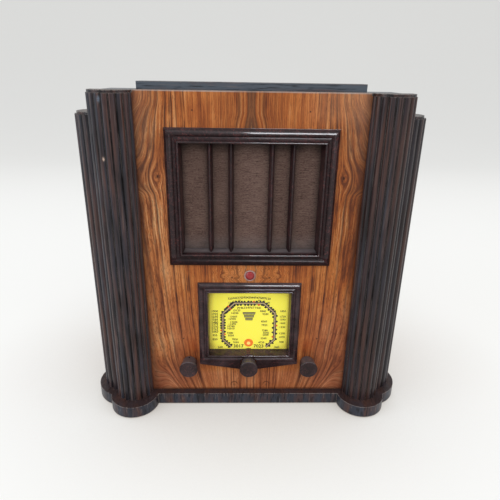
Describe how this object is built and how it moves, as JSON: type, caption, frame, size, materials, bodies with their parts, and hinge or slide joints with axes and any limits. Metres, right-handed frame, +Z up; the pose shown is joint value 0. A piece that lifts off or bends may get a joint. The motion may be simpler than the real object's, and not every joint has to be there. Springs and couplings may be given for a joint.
{
  "type": "table radio receiver",
  "caption": "Upright wooden table radio with reeded double columns on a lobed plinth, barred speaker frame, jewel, lit dial and turned knobs.",
  "frame": {"origin": "middle of the set's outline on the surface that it stands on, under the felt pads", "axes": "+Z up, the front with the dial faces -Y, +X to the viewer's right"},
  "size_m": [0.496, 0.2904, 0.493],
  "materials": {
    "dark_wood": "dark stained and polished",
    "walnut": "polished veneer",
    "board": "raw board",
    "pressboard": "matt",
    "bakelite": "polished moulding",
    "speaker_linen": "woven",
    "felt": "felt",
    "dial_print": "printed celluloid, lit",
    "clear_glass": "clear",
    "red_glass": "faceted",
    "bulb_glass": "clear",
    "bezel_metal": "worn",
    "steel": "plated",
    "can_metal": "satin",
    "brass": "satin",
    "iron": "varnished stampings",
    "copper_wire": "enamelled winding",
    "laminate": "paper laminate",
    "black_moulding": "moulded",
    "cone_paper": "pressed paper",
    "rubber": "soft"
  },
  "bodies": {
    "cabinet": {"plinth": "dark_wood", "floor_pads": "felt", "side_wall_left": "walnut", "side_wall_right": "walnut", "roof_board": "walnut", "crown_rail": "dark_wood", "top_block": "dark_wood", "front_panel": "walnut", "front_column_left": "dark_wood", "front_column_right": "dark_wood", "column_caps": "dark_wood", "side_column_left": "dark_wood", "side_column_right": "dark_wood", "corner_battens": "board", "back_cover": "pressboard", "back_screws": "brass", "speaker_frame": "bakelite", "speaker_cloth": "speaker_linen", "baffle_board": "board", "speaker_basket": "steel", "speaker_magnet": "steel", "speaker_bolts": "brass", "output_transformer": "iron", "dial_escutcheon": "bakelite", "dial_glass": "clear_glass", "dial_scale": "dial_print", "lamp_brackets": "brass", "lamps": "bulb_glass", "jewel_bezel": "bezel_metal", "jewel_lens": "red_glass", "chassis_deck": "steel", "chassis_aprons": "steel", "chassis_sides": "steel", "chassis_bolts": "steel", "transformer_core": "iron", "transformer_winding": "copper_wire", "valve_sockets": "laminate", "valve_bases": "black_moulding", "valve_bulbs": "bulb_glass", "if_cans": "can_metal", "smoothing_cans": "can_metal", "gang_frame": "steel", "gang_stator": "can_metal", "control_bushes": "brass", "volume_control": "can_metal", "selector_switch": "laminate", "socket_strip": "laminate", "socket_tubes": "brass", "mains_grommet": "rubber"},
    "volume": {"volume_shaft": "steel", "volume_knob": "bakelite"},
    "tuning": {"tuning_shaft": "steel", "pinch_wheel": "brass", "tuning_knob": "bakelite"},
    "gang": {"gang_rotor": "brass", "drive_disc": "brass", "pointer_arm": "black_moulding"},
    "selector": {"selector_shaft": "steel", "selector_knob": "bakelite"},
    "cone": {"speaker_cone": "cone_paper"}
  },
  "joints": [
    {"name": "volume_turn", "type": "hinge", "parent": "cabinet", "child": "volume", "pos_m": [-0.0937, -0.09975, 0.07346], "axis": [0, 1, 0], "range_deg": [-140, 140]},
    {"name": "gang_turn", "type": "hinge", "parent": "cabinet", "child": "gang", "pos_m": [0, -0.09975, 0.13356], "axis": [0, 1, 0], "range_deg": [-90, 90]},
    {"name": "tuning_turn", "type": "hinge", "parent": "cabinet", "child": "tuning", "pos_m": [0, -0.09975, 0.07346], "axis": [0, 1, 0], "range_deg": [-815, 815]},
    {"name": "selector_turn", "type": "hinge", "parent": "cabinet", "child": "selector", "pos_m": [0.0937, -0.09975, 0.07346], "axis": [0, 1, 0], "range_deg": [-45, 45]},
    {"name": "cone_travel", "type": "slide", "parent": "cabinet", "child": "cone", "axis": [0, 1, 0], "range_m": [-0.001, 0.001], "stiffness_N_per_m": 2000}
  ],
  "couplings": [
    {"joint": "tuning_turn", "follows": "gang_turn", "ratio": -9}
  ]
}
